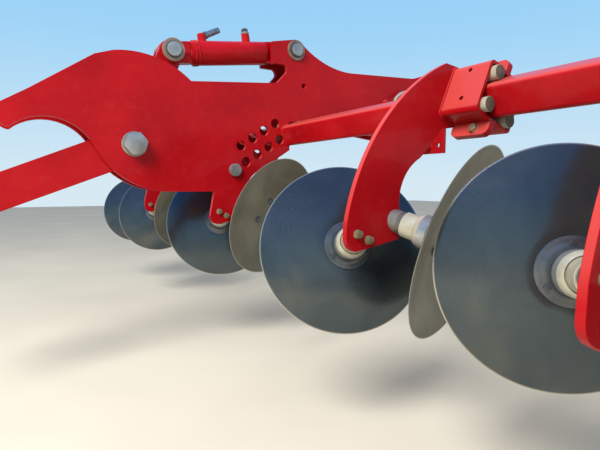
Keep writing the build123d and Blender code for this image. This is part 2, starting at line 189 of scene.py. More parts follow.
sun_way = sun_from / np.linalg.norm(sun_from)
sun_side = np.cross([0, 0, 1], sun_way)
sun_side /= np.linalg.norm(sun_side)
sun_turn = np.eye(4)
sun_turn[:3, 0] = sun_side
sun_turn[:3, 1] = np.cross(sun_way, sun_side)
sun_turn[:3, 2] = sun_way
sun_turn[:3, 3] = lit_middle + sun_distance * sun_way
for name, energy, glints in sun_lamps:
    lamp = bpy.data.lights.new(name, "AREA")
    lamp.size = sun_size
    lamp.energy = energy
    lamp.color = sun_colour
    sun = bpy.data.objects.new(name, lamp)
    sun.visible_glossy = glints
    sun.matrix_world = sun_turn.T.tolist()
    bpy.context.scene.collection.objects.link(sun)


# Fabricated steelwork: flame-cut plates, the square beam, the clamps and arms, all welded up and
# sprayed gloss red. Faces turned towards the sun have a paler pinkish red mixed in as painted
# sunlight. The cut corners are eased a little by shot blasting before the paint.
plate_edge = 0.0012
arm_edge = 0.0018
edge_segments = 2
corner_segments = 10
arm_numbers = (1, 2, 4, 5)
welded_nodes = (
    "side_plate_near",
    "side_plate_far",
    "front_flange",
    "roller_flange",
    "roller_arm_plates",
    "roller_arm_hub",
    "roller_arm_webs",
    "plate_spacers",
    "cross_beam",
    "beam_end_caps",
    "cylinder_barrel",
)
paint_tones = (
    (0.30, (0.330, 0.0030, 0.0065)),
    (0.55, (0.400, 0.0045, 0.0090)),
    (0.75, (0.455, 0.0080, 0.0120)),
)
paint_dust = (0.34, 0.12, 0.08)
# Painted sunlight: a paler pinkish red, mixed in on faces whose normal points along this way.
painted_sunlit_red = (0.52, 0.070, 0.062)
painted_light_way = (-0.64, -0.05, 0.77)


def roughen(tree, shader, height, distance, strength):
    """Bump on a shader from a height, over a distance in metres."""
    bump = tree.nodes.new("ShaderNodeBump")
    bump.inputs["Distance"].default_value = distance
    bump.inputs["Strength"].default_value = strength
    tree.links.new(height, bump.inputs["Height"])
    tree.links.new(bump.outputs["Normal"], shader.inputs["Normal"])


def blend(tree, share, under, over):
    """A colour laid over another by a share: under * (1 - share) + over * share."""
    made = tree.nodes.new("ShaderNodeMix")
    made.data_type = "RGBA"
    made.inputs[7].default_value = (*over, 1)
    tree.links.new(share, made.inputs[0])
    tree.links.new(under, made.inputs[6])
    return made.outputs[2]


red_paint, tree, shader, place = finish(
    "gloss_red_paint", Coat_Weight=0.17, Coat_Roughness=0.12, Coat_IOR=1.5, Specular_IOR_Level=0.1
)
drift = texture(tree, "ShaderNodeTexNoise", place, Scale=5.0, Detail=3.0)
tone = ramp(tree, drift.outputs["Fac"], *paint_tones)
dust = texture(tree, "ShaderNodeTexNoise", place, Scale=38.0, Detail=8.0, Roughness=0.7)
dust_share = ramp(tree, dust.outputs["Fac"], (0.52, 0.0), (0.80, 0.11))
dusty = blend(tree, dust_share, tone, paint_dust)
# Painted highlight: the normal's dot with the sun's side lays the paler red over faces turned
# towards it.
facing = tree.nodes.new("ShaderNodeVectorMath")
facing.operation = "DOT_PRODUCT"
facing.inputs[1].default_value = painted_light_way
tree.links.new(tree.nodes.new("ShaderNodeNewGeometry").outputs["Normal"], facing.inputs[0])
painted_light_share = ramp(tree, facing.outputs["Value"], (0.68, 0.0), (0.97, 1.0))
dusty_with_painted_light = blend(tree, painted_light_share, dusty, painted_sunlit_red)
tree.links.new(dusty_with_painted_light, shader.inputs["Base Color"])
sheen = ramp(tree, drift.outputs["Fac"], (0.3, 0.34), (0.7, 0.46))
tree.links.new(sheen, shader.inputs["Roughness"])
peel = texture(tree, "ShaderNodeTexNoise", place, Scale=420.0, Detail=2.0)
roughen(tree, shader, peel.outputs["Fac"], 0.0004, 0.35)


def place_piece(name, mesh, body, covered=()):
    """Put a finished mesh into the scene: on its body, for the nodes it covers."""
    piece = bpy.data.objects.new(name, mesh)
    bpy.context.scene.collection.objects.link(piece)
    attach(piece, body)
    if covered:
        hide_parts(*covered)
    return piece


def eased(node, width, finish_used, cut=None):
    """A copy of a CAD node with its corners merged and its sharp edges eased to a width. Edges
    that cut picks by their two ends are first rounded off to a radius."""
    mesh = nodes[node].data.copy()
    work = bmesh.new()
    work.from_mesh(mesh)
    bmesh.ops.remove_doubles(work, verts=work.verts, dist=2e-5)
    bmesh.ops.dissolve_limit(
        work, angle_limit=math.radians(0.4), verts=work.verts, edges=work.edges
    )
    if cut:
        radius, picked = cut
        edges = [edge for edge in work.edges if picked(*(np.array(v.co) for v in edge.verts))]
        bmesh.ops.bevel(
            work,
            geom=edges,
            offset=radius,
            segments=corner_segments,
            profile=0.5,
            affect="EDGES",
        )
    work.to_mesh(mesh)
    work.free()
    mesh.materials.clear()
    mesh.materials.append(finish_used)
    mesh.shade_smooth()
    mesh.set_sharp_from_angle(angle=math.radians(32))
    piece = place_piece(f"{node}_made", mesh, nodes[node]["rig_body"], (node,))
    rim = piece.modifiers.new("eased_edges", "BEVEL")
    rim.width = width
    rim.segments = edge_segments
    rim.limit_method = "ANGLE"
    rim.angle_limit = math.radians(40)
    rim.harden_normals = True
    return piece


for node in welded_nodes:
    eased(node, plate_edge, red_paint)
for number in arm_numbers:
    eased(f"arm_{number}", arm_edge, red_paint)


# Discs: dished 5 mm boron steel with a flat middle and a ground bevel on the hollow side. The
# round side is blued like rolled steel, the hollow side khaki with dried oil and dust. Like the
# hubs, stubs and pins, each is a profile carried round its axle.
disc_radius = 0.220
disc_thickness = 0.005
dish_radius = 0.535
flat_radius = 0.070
inner_flat = 0.036
centre_radius = 0.004
bevel_width = 0.018
lip_thickness = 0.0012
lip_ease = 0.0006
centre_height = -math.sqrt(dish_radius**2 - disc_radius**2)
outer_sphere = dish_radius + disc_thickness
round_tones = ((0.052, 0.067, 0.076), (0.073, 0.089, 0.097), (0.108, 0.117, 0.106))
hollow_tones = ((0.120, 0.112, 0.082), (0.165, 0.155, 0.118), (0.225, 0.212, 0.165))
worn_lip = (0.46, 0.42, 0.36)


def basis(axis):
    """Two unit vectors across an axis: a level one, and one square to it and to the axis."""
    first = np.cross([0, 0, 1], axis)
    if np.linalg.norm(first) < 1e-6:
        first = np.array([1.0, 0.0, 0.0])
    first = first / np.linalg.norm(first)
    return first, np.cross(axis, first)


def lathe(origin, axis, profile, steps):
    """Rings of points: origin + height * axis + radius * (cos a * e1 + sin a * e2), for each
    radius and height of a profile."""
    axis = np.array(axis, float)
    first, second = basis(axis)
    angle = np.linspace(0, 2 * np.pi, steps, endpoint=False)
    spoke = np.cos(angle)[:, None] * first + np.sin(angle)[:, None] * second
    radii, heights = np.array(profile, float).T[:, :, None, None]
    return np.asarray(origin) + heights * axis + radii * spoke


def closed_mesh(name, shells, finish_used, crease=35):
    """One mesh of closed shells. Each is a grid of rings with a flat face over either end, turned
    outwards by the sign of its volume: the sum of a . (b x c) over its triangles."""
    points, faces, start = [], [], 0
    for rings in shells:
        rows, steps, _ = rings.shape
        index = start + np.arange(rows * steps).reshape(rows, steps)
        turned = np.roll(index, -1, axis=1)
        quads = np.stack([index[:-1], turned[:-1], turned[1:], index[1:]], axis=-1)
        quads = quads.reshape(-1, 4)
        flat = rings.reshape(-1, 3)
        centre = flat.mean(0)
        a, b, c, d = (flat[quads[:, k] - start] - centre for k in range(4))
        volume = np.einsum("ij,ij->", a, np.cross(b, c)) + np.einsum("ij,ij->", a, np.cross(c, d))
        for cap, sign in ((rings[0] - centre, -1), (rings[-1] - centre, 1)):
            fan = np.cross(cap, np.roll(cap, -1, axis=0))
            volume += sign * np.einsum("ij,ij->", np.repeat(cap[:1], steps, 0), fan)
        way = 1 if volume > 0 else -1
        faces += quads[:, ::way].tolist()
        faces.append(index[0][::-way].tolist())
        faces.append(index[-1][::way].tolist())
        points.append(flat)
        start += rows * steps
    mesh = bpy.data.meshes.new(name)
    mesh.from_pydata(np.concatenate(points).tolist(), [], faces)
    mesh.materials.append(finish_used)
    mesh.shade_smooth()
    mesh.set_sharp_from_angle(angle=math.radians(crease))
    return mesh


def dish(radius, sphere):
    """Height over the rim's plane: the root of sphere^2 - radius^2, plus the centre's height."""
    return centre_height + np.sqrt(sphere**2 - np.asarray(radius) ** 2)


hub_seat = float(dish(flat_radius, outer_sphere))
hollow_floor = float(dish(flat_radius, dish_radius))


def blued_steel(name, tones, roughness):
    """Rolled steel: drifting tone, fine round scratches that follow the disc, a bright lip."""
    made, tree, shader, place = finish(name, Metallic=0.75, Specular_IOR_Level=0.5)
    drift = texture(tree, "ShaderNodeTexNoise", place, Scale=7.0, Detail=4.0, Distortion=0.6)
    tone = ramp(tree, drift.outputs["Fac"], *zip((0.28, 0.52, 0.76), tones))
    ring = tree.nodes.new("ShaderNodeAttribute")
    ring.attribute_name = "ring"
    lip = ramp(tree, ring.outputs["Fac"], (0.985, 0.0), (0.996, 1.0))
    tree.links.new(blend(tree, lip, tone, worn_lip), shader.inputs["Base Color"])
    round_place = tree.nodes.new("ShaderNodeUVMap")
    round_place.uv_map = "around"
    stretch = tree.nodes.new("ShaderNodeMapping")
    stretch.inputs["Scale"].default_value = (3.0, 160.0, 1.0)
    tree.links.new(round_place.outputs[0], stretch.inputs[0])
    scratch = texture(tree, "ShaderNodeTexNoise", stretch.outputs[0], Scale=1.0, Detail=5.0)
    rough_stops = ((0.35, roughness - 0.03), (0.65, roughness + 0.03))
    rough = ramp(tree, scratch.outputs["Fac"], *rough_stops)
    tree.links.new(rough, shader.inputs["Roughness"])
    grain = texture(tree, "ShaderNodeTexNoise", place, Scale=260.0, Detail=3.0)
    roughen(tree, shader, grain.outputs["Fac"], 0.0003, 0.25)
    return made


round_side = blued_steel("blued_disc_steel", round_tones, roughness=0.25)
hollow_side = blued_steel("khaki_disc_steel", hollow_tones, roughness=0.36)


def blade(name, origin, axis):
    """A disc from two dish curves: out over the hollow side, down the bevel, back outside. Its
    ring attribute is radius / disc radius, and its UV map is the turn's share and that."""
    inner = np.linspace(flat_radius, disc_radius - bevel_width, 26)
    outer = np.linspace(disc_radius, flat_radius, 32)[1:]
    lip_height = float(dish(disc_radius, outer_sphere))
    profile = [(centre_radius, hollow_floor), (inner_flat, hollow_floor)]
    profile += zip(inner, dish(inner, dish_radius))
    hollow_rows = len(profile)
    profile.append((disc_radius - lip_ease, lip_height - lip_thickness))
    profile.append((disc_radius, lip_height - 0.5 * lip_thickness))
    profile += zip(outer, dish(outer, outer_sphere))
    profile += [(inner_flat, hub_seat), (centre_radius, hub_seat)]
    steps = 144
    mesh = closed_mesh(name, [lathe(origin, -axis, profile, steps)], round_side, crease=14)
    mesh.materials.append(hollow_side)
    rows = len(profile) - 1
    which = np.repeat((np.arange(rows) < hollow_rows).astype(np.int32), steps)
    mesh.polygons.foreach_set("material_index", np.concatenate([which, [1, 0]]).astype(np.int32))
    share = np.array(profile)[:, 0] / disc_radius
    ring = mesh.attributes.new("ring", "FLOAT", "POINT")
    ring.data.foreach_set("value", np.repeat(share, steps).astype(np.float32))
    corner_vertex = np.empty(len(mesh.loops), np.int32)
    mesh.loops.foreach_get("vertex_index", corner_vertex)
    around = np.stack([(corner_vertex % steps) / steps, share[corner_vertex // steps]], axis=1)
    uv = mesh.uv_layers.new(name="around")
    uv.data.foreach_set("uv", around.astype(np.float32).ravel())
    return mesh


wheels = []
for number in (1, 2, 3, 4, 5):
    for side in ("near", "far"):
        spin = joints[f"spin_{number}_{side}"]
        wheels.append((number, side, np.array(spin["pos_m"]), np.array(spin["axis"])))
for number, side, origin, axis in wheels:
    name, covered = f"blade_{number}_{side}", (f"disc_{number}_{side}",)
    place_piece(name, blade(name, origin, axis), f"wheel_{number}_{side}", covered)


# Hubs: a forged cone that the disc bolts to, in dark steel, a bearing barrel turned grey, and a
# pale plated nose with the seal's recess in its face. Three bolts go through the disc into the
# cone, and their round heads lie on the disc's hollow side.
hub_radius = 0.040
nose_radius = 0.0388
hub_length = 0.052
cone_height = 0.010
cone_radius = 0.060
hub_bore = 0.030
spindle_radius = 0.0201
seal_radius = 0.0316
seal_depth = 0.004
nose_length = 0.0125
barrel_end = cone_height + hub_length
bolt_circle = 0.048
bolt_turns = np.radians([94.0, 214.0, 334.0])
cone_flange = 0.0060
hub_nut_across = 0.0108
hub_nut_height = 0.0072

# Radius and height over the hub's seat for the cone and the barrel, over the barrel's end for
# the nose, and over the disc's hollow floor for a bolt's head.
cone_profile = [
    (hub_bore, 0.0),
    (cone_radius - 0.001, 0.0),
    (cone_radius, 0.001),
    (cone_radius, 0.0047),
    (cone_radius - 0.0015, 0.0059),
    (0.0520, 0.0064),
    (0.0485, 0.0078),
    (0.0455, cone_height),
    (0.0430, cone_height + 0.004),
    (0.0412, cone_height + 0.009),
    (0.0402, cone_height + 0.014),
    (hub_radius, cone_height + 0.018),
    (hub_radius - 0.0006, cone_height + 0.0186),
    (hub_bore, cone_height + 0.0186),
]
barrel_profile = [
    (hub_bore, cone_height + 0.018),
    (hub_radius - 0.0014, cone_height + 0.018),
    (hub_radius - 0.0006, cone_height + 0.0188),
    (hub_radius - 0.0006, barrel_end - nose_length - 0.0004),
    (hub_radius - 0.0010, barrel_end - nose_length),
    (hub_bore, barrel_end - nose_length),
]
nose_profile = [
    (hub_bore, -nose_length - 0.001),
    (nose_radius - 0.0004, -nose_length - 0.001),
    (nose_radius, -nose_length),
    (nose_radius - 0.0006, -nose_length + 0.0025),
    (0.0366, -0.006),
    (0.0344, -0.0025),
    (0.0328, -0.0006),
    (seal_radius + 0.0004, 0.0),
    (seal_radius, -0.0004),
    (seal_radius, -seal_depth),
    (spindle_radius, -seal_depth),
]
round_head_profile = [
    (0.0125, -0.0005),
    (0.0125, 0.0008),
    (0.0118, 0.0022),
    (0.0095, 0.0036),
    (0.0055, 0.0045),
    (0.001, 0.0048),
]


def turned_metal(name, tones, roughness, metallic, grain_scale):
    """Turned or plated steel: soft patches of tone, dull spots, and a fine tool grain."""
    made, tree, shader, place = finish(name, Metallic=metallic, Specular_IOR_Level=0.5)
    patch = texture(tree, "ShaderNodeTexNoise", place, Scale=22.0, Detail=5.0, Roughness=0.6)
    stops = zip((0.30, 0.50, 0.72), tones)
    tree.links.new(ramp(tree, patch.outputs["Fac"], *stops), shader.inputs["Base Color"])
    spot = texture(tree, "ShaderNodeTexNoise", place, Scale=95.0, Detail=4.0)
    rough = ramp(tree, spot.outputs["Fac"], (0.3, roughness - 0.08), (0.7, roughness + 0.1))
    tree.links.new(rough, shader.inputs["Roughness"])
    grain = texture(tree, "ShaderNodeTexNoise", place, Scale=grain_scale, Detail=2.0)
    roughen(tree, shader, grain.outputs["Fac"], 0.0003, 0.3)
    return made


dark_tones = ((0.07, 0.08, 0.09), (0.11, 0.12, 0.13), (0.17, 0.17, 0.16))
dark_steel = turned_metal(
    "dark_forged_steel", dark_tones, roughness=0.40, metallic=0.7, grain_scale=300
)
barrel_tones = ((0.26, 0.28, 0.28), (0.38, 0.39, 0.38), (0.54, 0.54, 0.51))
barrel_grey = turned_metal(
    "grey_turned_barrel", barrel_tones, roughness=0.40, metallic=0.65, grain_scale=500
)
pale_tones = ((0.38, 0.355, 0.27), (0.50, 0.475, 0.375), (0.58, 0.56, 0.475))
pale_plate = turned_metal(
    "pale_zinc_plate", pale_tones, roughness=0.42, metallic=0.35, grain_scale=500
)


def hexagon(origin, axis, across, height, turn=0.0, crown=0.00025):
    """A bolt head: radius across/2 over the cosine to the nearest flat, its top corners
    chamfered by a cone, on a short neck."""
    steps, neck, round_share, cone_slope = 48, 0.985, 0.97, 0.55
    first, second = basis(np.array(axis, float))
    angle = np.linspace(0, 2 * np.pi, steps, endpoint=False)
    spoke = np.cos(angle)[:, None] * first + np.sin(angle)[:, None] * second
    flat = (angle - turn) % (np.pi / 3) - np.pi / 6
    corner = across / 2 / np.cos(flat)
    round_radius = across / 2 * round_share
    drop = np.maximum(corner - round_radius, 0) * cone_slope
    rows = [
        (corner * neck, 0.0),
        (corner, across * 0.02),
        (corner, height - drop),
        (np.full(steps, round_radius * 0.96), height),
        (np.full(steps, round_radius * 0.2), height + crown),
    ]
    rings = [
        origin + np.broadcast_to(level, steps)[:, None] * axis + radius[:, None] * spoke
        for radius, level in rows
    ]
    return np.stack(rings)


def bolt_set(origin, axis, across, height, washer=0.0, end=0.0, turn=0.0):
    """A hexagon on a washer, with the end of its thread standing out where it is a nut. The
    washer's radius is 0.62 and the thread's 0.33 of the width across flats."""
    axis = np.array(axis, float)
    shells = []
    if washer:
        outer = across * 0.62
        washer_profile = [
            (outer - 0.0004, -0.0005),
            (outer, 0.0),
            (outer, washer - 0.0004),
            (outer - 0.0006, washer),
        ]
        shells.append(lathe(origin, axis, washer_profile, steps=40))
    shells.append(hexagon(np.array(origin) + axis * washer, axis, across, height, turn))
    if end:
        shank = across * 0.33
        top = washer + height
        thread_profile = [
            (shank, top - 0.002),
            (shank, top + end * 0.75),
            (shank * 0.96, top + end * 0.85),
            (shank * 0.8, top + end),
        ]
        shells.append(lathe(origin, axis, thread_profile, steps=24))
    return shells


def add_shells(name, shells, finish_used, body, covered=(), crease=35):
    """Place a closed mesh of shells as a piece, for the nodes it covers."""
    place_piece(name, closed_mesh(name, shells, finish_used, crease), body, covered)


for number, side, origin, axis in wheels:
    tag = f"{number}_{side}"
    body = f"wheel_{tag}"
    inward = -axis
    seat = origin + hub_seat * inward
    cone = lathe(seat, inward, cone_profile, steps=96)
    add_shells(f"hub_cone_{tag}", [cone], dark_steel, body, (f"hub_{tag}",))
    barrel = lathe(seat, inward, barrel_profile, steps=96)
    add_shells(f"hub_barrel_{tag}", [barrel], barrel_grey, body)
    nose = lathe(seat + barrel_end * inward, inward, nose_profile, steps=96)
    add_shells(f"hub_nose_{tag}", [nose], pale_plate, body)
    first, second = basis(inward)
    nuts, heads = [], []
    for turn in bolt_turns:
        spot = origin + bolt_circle * (math.cos(turn) * first + math.sin(turn) * second)
        nut_seat = spot + (hub_seat + cone_flange) * inward
        nuts += bolt_set(nut_seat, inward, hub_nut_across, hub_nut_height, turn=turn)
        heads.append(lathe(spot + hollow_floor * inward, axis, round_head_profile, steps=32))
    add_shells(f"hub_nuts_{tag}", nuts, dark_steel, body)
    add_shells(f"disc_bolts_{tag}", heads, dark_steel, body, crease=50)


# Axle stubs: turned bars that are bolted through the foot of an arm. The body is pale plated and
# the stepped collar against the plate is grey; the spindle inside the hub doesn't show.
stub_length = 0.1663
stub_radius = 0.0296
collar_radius = 0.0266
collar_length = 0.022
collar_start = stub_length - collar_length
collar_end = 0.0135
seam = 0.002
stub_start = hub_seat + barrel_end + seam
let_in = 0.0005
groove_count = 3
groove_pitch = 0.0034
groove_depth = 0.0017
groove = np.repeat(np.arange(groove_count) * groove_pitch, 4)
groove_step = np.tile([0.0, 0.0017, 0.0020, 0.0031], groove_count)
groove_radii = collar_radius - np.tile([0.0, 0.0, groove_depth, groove_depth], groove_count)
groove_heights = 0.0009 + groove + groove_step

# Radius and height over the disc's rim plane for the body, and over the collar's start for the
# collar, whose last ring is cut to the plate's face.
stub_profile = [
    (spindle_radius * 0.9, stub_start - 0.005),
    (stub_radius - 0.0006, stub_start - 0.005),
    (stub_radius, stub_start - 0.0044),
    (stub_radius, collar_start - 0.0014),
    (stub_radius - 0.0012, collar_start),
    (collar_radius * 0.85, collar_start),
]
collar_profile = [
    (0.015, 0.0006),
    (collar_radius - 0.0012, 0.0006),
    *zip(groove_radii, groove_heights),
    (collar_radius, groove_heights[-1] + 0.0006),
    (collar_radius, collar_end),
]
worn_tones = ((0.13, 0.13, 0.125), (0.21, 0.205, 0.19), (0.31, 0.30, 0.27))
worn_zinc = turned_metal(
    "worn_grey_zinc", worn_tones, roughness=0.46, metallic=0.55, grain_scale=420
)

arm_faces = {number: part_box(f"arm_{number}") for number in arm_numbers}
arm_faces[3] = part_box("side_plate_near")


def cut_at(rings, axis, level):
    """The last ring slid along the axis until each of its points meets the plane Y = level."""
    slide = (level - rings[-1][:, 1]) / axis[1]
    rings[-1] = rings[-1] + slide[:, None] * axis
    return rings


for number, side, origin, axis in wheels:
    tag = f"{number}_{side}"
    inward = -axis
    low, high = arm_faces[number]
    face = low[1] + let_in if side == "near" else high[1] - let_in
    covered = (f"axles_{number}",) if side == "near" else ()
    stub = lathe(origin, inward, stub_profile, steps=72)
    add_shells(f"stub_body_{tag}", [stub], pale_plate, "section", covered)
    collar = lathe(origin + collar_start * inward, inward, collar_profile, steps=72)
    collar = cut_at(collar, inward, face)
    add_shells(f"stub_collar_{tag}", [collar], worn_zinc, "section")


# Clamps: two folded half channels whose lips are bolted together above and below the beam. The
# lips' outer corners are rounded off before the halves are folded.
beam_middle = np.array([-0.824, -0.146])
beam_turn = math.radians(21.7)
clamp_turn = beam_turn - math.radians(45)
lip_end = 0.097
lip_round = 0.016
clamp_across = np.array([math.cos(clamp_turn), 0.0, math.sin(clamp_turn)])
clamp_along = np.array([-math.sin(clamp_turn), 0.0, math.cos(clamp_turn)])


def about_beam(turn, x, z):
    """The beam's middle plus a point turned about it, as X and Z of the section."""
    cos, sin = math.cos(turn), math.sin(turn)
    return beam_middle + np.array([x * cos - z * sin, x * sin + z * cos])


def lip_corner(start, end):
    """Whether an edge runs through a lip's thickness at the lip's far end."""
    centre = np.array([beam_middle[0], 0.0, beam_middle[1]])
    far = min(abs((point - centre) @ clamp_along) for point in (start, end)) > lip_end - 0.001
    way = (end - start) / np.linalg.norm(end - start)
    return far and abs(way @ clamp_across) > 0.99


for number in arm_numbers:
    eased(f"clamp_{number}", plate_edge, red_paint, (lip_round, lip_corner))


# Rubber cords: four round bars of rubber squeezed between the beam and each clamp. They stand out
# a little at the clamp's free end, their sides pale with dust and their cut ends darker.
beam_side = 0.080
clamp_inside = 0.116
cord_play = 0.00015
cord_radius = (clamp_inside - beam_side / math.sqrt(2)) / (2 + math.sqrt(2)) - cord_play
cord_reach = clamp_inside / 2 - cord_radius - cord_play
stands_out = 0.009
crown = 0.0010
side_tones = ((0.24, 0.21, 0.16), (0.36, 0.33, 0.26), (0.48, 0.45, 0.37))
end_tones = ((0.085, 0.072, 0.054), (0.125, 0.110, 0.083), (0.19, 0.17, 0.13))


def dusty_rubber(name, tones):
    """Matt rubber with a bloom of dust in soft patches."""
    made, tree, shader, place = finish(name, Specular_IOR_Level=0.3)
    bloom = texture(tree, "ShaderNodeTexNoise", place, Scale=60.0, Detail=7.0, Roughness=0.65)
    tone = ramp(tree, bloom.outputs["Fac"], *zip((0.30, 0.55, 0.78), tones))
    tree.links.new(tone, shader.inputs["Base Color"])
    rough = ramp(tree, bloom.outputs["Fac"], (0.3, 0.62), (0.7, 0.85))
    tree.links.new(rough, shader.inputs["Roughness"])
    roughen(tree, shader, bloom.outputs["Fac"], 0.0006, 0.4)
    return made


cord_side = dusty_rubber("dusty_rubber_side", side_tones)
cord_end = dusty_rubber("cut_rubber_end", end_tones)

for number in arm_numbers:
    low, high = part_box(f"rubber_cords_{number}")
    length = high[1] - low[1] + stands_out
    cord_profile = [
        (cord_radius * 0.15, 0.0),
        (cord_radius * 0.90, crown * 0.2),
        (cord_radius * 0.97, crown * 0.6),
        (cord_radius, crown * 1.6),
        (cord_radius, length - 0.002),
        (cord_radius * 0.97, length),
    ]
    bars = []
    for across in (-cord_reach, cord_reach):
        for up in (-cord_reach, cord_reach):
            x, z = about_beam(clamp_turn, across, up)
            bars.append(lathe((x, low[1] - stands_out, z), (0, 1, 0), cord_profile, steps=40))
    mesh = closed_mesh(f"cord_bars_{number}", bars, cord_side)
    mesh.materials.append(cord_end)
    normals = np.empty(3 * len(mesh.polygons), np.float32)
    mesh.polygons.foreach_get("normal", normals)
    is_end = np.abs(normals.reshape(-1, 3)[:, 1]) > 0.6
    mesh.polygons.foreach_set("material_index", is_end.astype(np.int32))
    covered = (f"rubber_cords_{number}",)
    place_piece(f"cord_bars_{number}", mesh, "section", covered)


# Clamp bolts: one through each pair of lips, yellow-plated, with its nut on the other lip.
# Head and nut have a thin washer, and the thread stands out of the nut.
lip_middle = 0.081
lip_face = 0.0085
bolt_along = 0.040
clamp_bolt_across = 0.019
clamp_bolt_height = 0.0085
thin_washer = 0.002
thread_end = 0.005
clamp_bolt_turn = 0.3
yellow_tones = ((0.36, 0.30, 0.17), (0.48, 0.42, 0.26), (0.60, 0.56, 0.42))
yellow_zinc = turned_metal(
    "yellow_zinc_bolt", yellow_tones, roughness=0.36, metallic=0.75, grain_scale=600
)
for number in arm_numbers:
    low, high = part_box(f"clamp_{number}")
    shells = []
    for end in (-1, 1):
        for side in (-1, 1):
            x, z = about_beam(clamp_turn, side * lip_face, end * lip_middle)
            shells += bolt_set(
                (x, low[1] + bolt_along, z),
                clamp_across * side,
                clamp_bolt_across,
                clamp_bolt_height,
                thin_washer,
                thread_end if side > 0 else 0.0,
                clamp_bolt_turn * end,
            )
    add_shells(f"clamp_bolts_{number}", shells, yellow_zinc, "section")


# Foot bolts: two hexagon bolts with washers pull each stub against its plate, their heads on the
# plate's other face. The inner stub of each outermost arm has a longer foot, and places of its own.
foot_bolt_across = 0.0168
foot_bolt_height = 0.009
leg_thickness = 0.015
turn_per_metre = 40
foot_bolts = {
    "far": [(-1.1585, -0.462), (-1.127, -0.477)],
    "near": [(-1.047, -0.424), (-1.036, -0.452)],
}
leg_bolts = {
    "far": [(-1.142, -0.454), (-1.114, -0.470)],
    "near": [(-1.042, -0.413), (-1.031, -0.441)],
}
wide_bolts = [(-1.141, -0.478), (-1.108, -0.494)]
for number in (1, 2, 3, 4, 5):
    low, high = arm_faces[number]
    far_level = low[1] + leg_thickness if number == 3 else high[1]
    shells = []
    for side, level, way in (("far", low[1], -1.0), ("near", far_level, 1.0)):
        places = leg_bolts[side] if number == 3 else foot_bolts[side]
        if (number, side) in ((1, "far"), (5, "near")):
            places = wide_bolts
        for x, z in places:
            shells += bolt_set(
                (x, level, z),
                (0, way, 0),
                foot_bolt_across,
                foot_bolt_height,
                thin_washer,
                turn=x * turn_per_metre,
            )
    add_shells(f"foot_bolts_{number}", shells, yellow_zinc, "section")


# Pins: plated bars that turn in the cylinder's eyes, each with a rust-tinged washer and an open
# circlip at both ends. The rod's pin has collars that carry its washers past the side plates.
pin_radius = 0.025
pin_chamfer = 0.0022
rod_pin_collar = 0.033
collar_inner = 0.034
plate_face = 0.055
washer_radius = 0.040
washer_thickness = 0.006
ring_bar = 0.0022
ring_start = 0.6
ring_sweep = math.radians(318)
washer_profile = [
    (pin_radius - 0.001, 0.0),
    (washer_radius - 0.0006, 0.0),
    (washer_radius, 0.0006),
    (washer_radius, washer_thickness - 0.0014),
    (washer_radius - 0.0014, washer_thickness),
    (pin_radius + 0.0012, washer_thickness),
    (pin_radius - 0.001, washer_thickness - 0.0012),
]
grey_tones = ((0.28, 0.28, 0.27), (0.38, 0.38, 0.36), (0.50, 0.49, 0.45))
grey_plate = turned_metal(
    "grey_zinc_plate", grey_tones, roughness=0.38, metallic=0.7, grain_scale=500
)
rusty_tones = ((0.20, 0.12, 0.08), (0.30, 0.20, 0.15), (0.38, 0.30, 0.24))
rusty_washer = turned_metal(
    "rusty_washer", rusty_tones, roughness=0.55, metallic=0.4, grain_scale=400
)


def hoop(centre, axis, radius, bar, start, sweep, rows=56, steps=10):
    """A bent round bar: a circle of the bar's radius carried along an arc about an axis."""
    axis = np.array(axis, float)
    first, second = basis(axis)
    turn = start + np.linspace(0, sweep, rows)[:, None, None]
    around = np.linspace(0, 2 * np.pi, steps, endpoint=False)[None, :, None]
    spoke = np.cos(turn) * first + np.sin(turn) * second
    return centre + spoke * (radius + bar * np.cos(around)) + axis * bar * np.sin(around)


def middle_of(node):
    """The middle of a CAD node's box."""
    low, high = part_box(node)
    return (np.array(low) + np.array(high)) / 2


for node, body, collar in (("base_pin", "section", 0.0), ("rod_pin", "roller_arm", rod_pin_collar)):
    low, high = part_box(node)
    centre = middle_of(node)
    half = (high[1] - low[1]) / 2
    half_profile = [
        (pin_radius, half - pin_chamfer),
        (pin_radius - pin_chamfer, half),
        (0.012, half),
        (0.004, half),
    ]
    if collar:
        collar_steps = [
            (pin_radius, collar_inner),
            (collar - 0.001, collar_inner),
            (collar, collar_inner + 0.001),
            (collar, plate_face - 0.001),
            (collar - 0.001, plate_face),
            (pin_radius, plate_face),
        ]
        half_profile = collar_steps + half_profile
    pin_profile = [(radius, -height) for radius, height in half_profile[::-1]] + half_profile
    bar = lathe(centre, (0, 1, 0), pin_profile, steps=72)
    add_shells(f"{node}_bar", [bar], grey_plate, body, (node,))
    washers, rings = [], []
    for side in (-1, 1):
        face = centre + np.array([0.0, side * plate_face, 0.0])
        washers.append(lathe(face, (0, side, 0), washer_profile, steps=72))
        clip = face + np.array([0.0, side * (washer_thickness + ring_bar * 0.8), 0.0])
        ring_radius = pin_radius + ring_bar * 0.7
        rings.append(hoop(clip, (0, side, 0), ring_radius, ring_bar, ring_start, ring_sweep))
    add_shells(f"{node}_washers", washers, rusty_washer, body)
    add_shells(f"{node}_circlips", rings, dark_steel, body, crease=60)


# Stop pin and pivot bolt: the stop pin is a plain turned bar with a round head, and the roller
# arm turns on one big zinc-plated bolt with a washer and a chamfered hexagon at either side.
stop_pin_edge = 0.0022
pivot_radius = 0.024
pivot_washer = 0.042
pivot_washer_thickness = 0.005
head_across = 0.070
head_height = 0.030
head_turn = math.radians(12)
head_crown = 0.0005
bar_half = plate_face + 0.002
pivot_washer_profile = [
    (0.020, 0.0),
    (pivot_washer - 0.0006, 0.0),
    (pivot_washer, 0.0006),
    (pivot_washer, pivot_washer_thickness - 0.0012),
    (pivot_washer - 0.0012, pivot_washer_thickness),
    (0.020, pivot_washer_thickness),
]
eased("stop_pin", stop_pin_edge, grey_plate)

